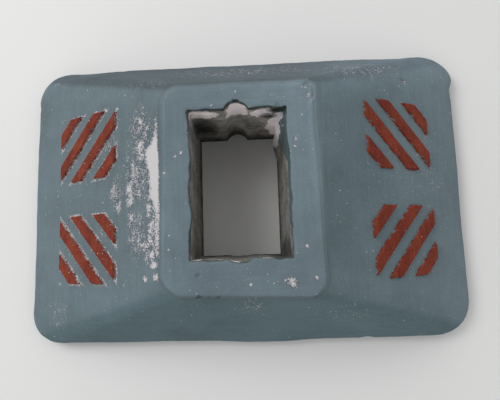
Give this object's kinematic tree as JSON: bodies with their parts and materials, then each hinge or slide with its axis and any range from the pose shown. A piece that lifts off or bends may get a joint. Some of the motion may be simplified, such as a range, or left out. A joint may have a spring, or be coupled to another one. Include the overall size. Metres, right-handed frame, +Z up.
{
  "type": "concrete barrier block",
  "caption": "Hipped precast concrete barrier block with a raised collar around a rectangular socket through its middle.",
  "frame": {"origin": "middle of the flat underside", "axes": "+X along the block's length, +Y across it, +Z up through the socket"},
  "size_m": [1, 0.652, 0.221],
  "materials": {
    "painted_concrete": "brushed matt paint over cast concrete"
  },
  "bodies": {
    "root": {"barrier_block": "painted_concrete"}
  },
  "joints": []
}
